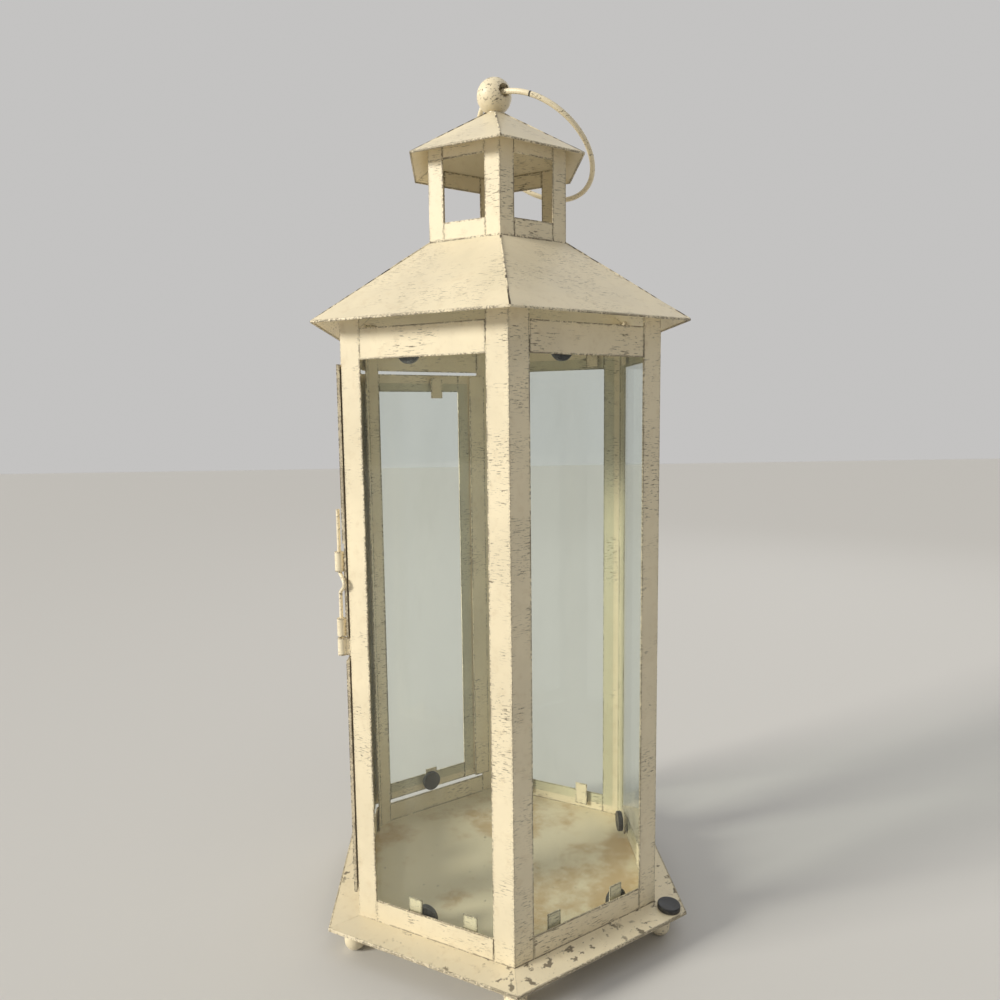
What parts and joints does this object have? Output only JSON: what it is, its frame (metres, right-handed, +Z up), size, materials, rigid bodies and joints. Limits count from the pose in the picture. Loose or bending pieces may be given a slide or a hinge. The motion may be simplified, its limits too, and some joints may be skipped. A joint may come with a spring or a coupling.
{
  "type": "candle lantern",
  "caption": "Tall hexagonal sheet-metal candle lantern with glass panes, a folded glazed door with a sliding wire latch, an open vented cupola, ball finial and ring handle.",
  "frame": {"origin": "on the ground under the lantern's axis", "axes": "+Z up, -Y towards the corner between the two front panes, +X right"},
  "size_m": [0.206, 0.2378, 0.5005],
  "materials": {
    "cream_paint": "distressed satin",
    "roof_paint": "distressed satin",
    "floor_paint": "stained satin",
    "ball_paint": "satin",
    "wire_paint": "satin",
    "glass": "clear, slightly green",
    "ferrite": "matt black",
    "steel": "dull"
  },
  "bodies": {
    "lantern": {"base_tray": "floor_paint", "skirt_panels": "cream_paint", "skirt_lip": "cream_paint", "feet": "cream_paint", "posts": "cream_paint", "inner_post": "cream_paint", "bottom_rails": "cream_paint", "top_rails": "cream_paint", "panes": "glass", "bottom_tabs": "cream_paint", "top_tabs": "cream_paint", "discs": "ferrite", "roof_panels": "roof_paint", "roof_collar": "roof_paint", "cupola_posts": "cream_paint", "cupola_sills": "cream_paint", "cupola_heads": "cream_paint", "small_roof": "roof_paint", "ball": "ball_paint", "hinge_post_plates": "cream_paint", "hinge_pins": "steel", "strike": "cream_paint", "door_stop": "cream_paint"},
    "door": {"door_corner": "cream_paint", "door_free_stile": "cream_paint", "door_hinge_stile": "cream_paint", "door_top_rails": "cream_paint", "door_bottom_rails": "cream_paint", "door_panes": "glass", "door_tabs": "cream_paint", "door_disc": "ferrite", "hinge_door_plates": "cream_paint", "latch_plate": "cream_paint"},
    "bolt": {"bolt": "wire_paint"},
    "ring": {"ring": "wire_paint"}
  },
  "joints": [
    {"name": "door_hinge", "type": "hinge", "parent": "lantern", "child": "door", "pos_m": [-0.01245, 0.09616, 0.185], "axis": [0, 0, -1], "range_deg": [0, 100]},
    {"name": "bolt_slide", "type": "slide", "parent": "door", "child": "bolt", "axis": [0, 0, 1], "range_m": [-0.0136, 0]},
    {"name": "ring_swing", "type": "hinge", "parent": "lantern", "child": "ring", "pos_m": [0, 0, 0.4911], "axis": [0.5592, -0.829, 0], "range_deg": [0, 103]}
  ]
}
